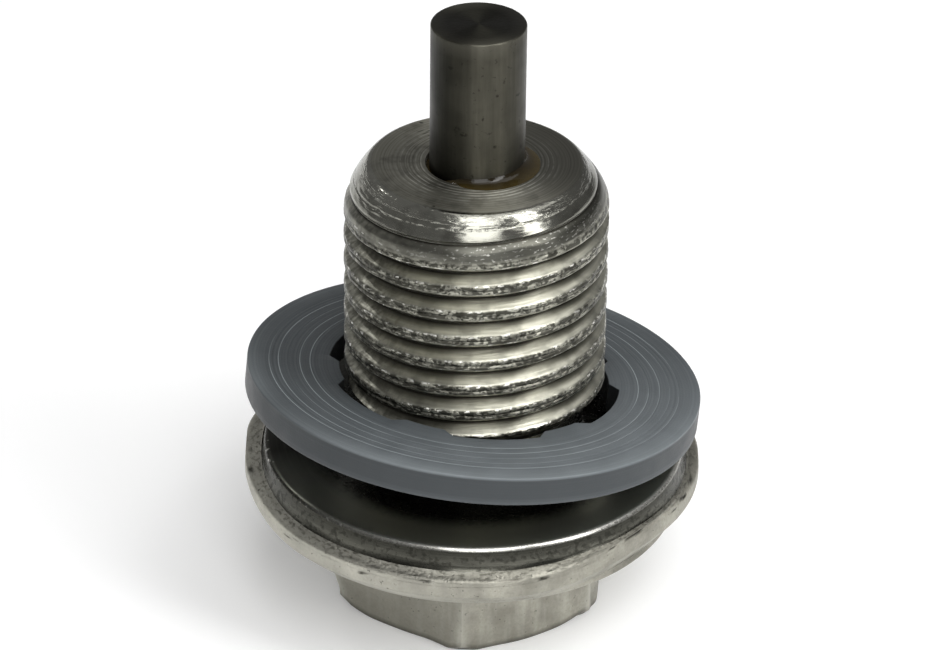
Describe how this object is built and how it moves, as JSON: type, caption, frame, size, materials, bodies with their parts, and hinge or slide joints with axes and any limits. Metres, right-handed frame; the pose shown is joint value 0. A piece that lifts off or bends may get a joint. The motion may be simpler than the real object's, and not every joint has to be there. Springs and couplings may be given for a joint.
{
  "type": "magnetic oil drain plug",
  "caption": "Flanged hexagon-head oil drain plug with a metric thread, a bar magnet glued into the shank's end, and a loose toothed plastic sealing washer.",
  "frame": {"origin": "centre of the hexagon's end face, on which the plug stands", "axes": "+Z along the plug's axis, from the hexagon to the magnet; -Y is the side that faces the viewer in the picture"},
  "size_m": [0.0247, 0.0246, 0.0337],
  "materials": {
    "plated_steel": "worn dull plating over steel: forged and pitted rim, turned land and end face, bright thread crests",
    "magnet_alloy": "dark satin ground bar with faint rubbed marks",
    "amber_adhesive": "glossy amber-brown cured adhesive",
    "grey_nylon": "satin blue-grey plastic with fine turning rings on its face"
  },
  "bodies": {
    "root": {"plug_body": "plated_steel", "magnet": "magnet_alloy", "magnet_adhesive": "amber_adhesive", "sealing_washer": "grey_nylon"}
  },
  "joints": []
}
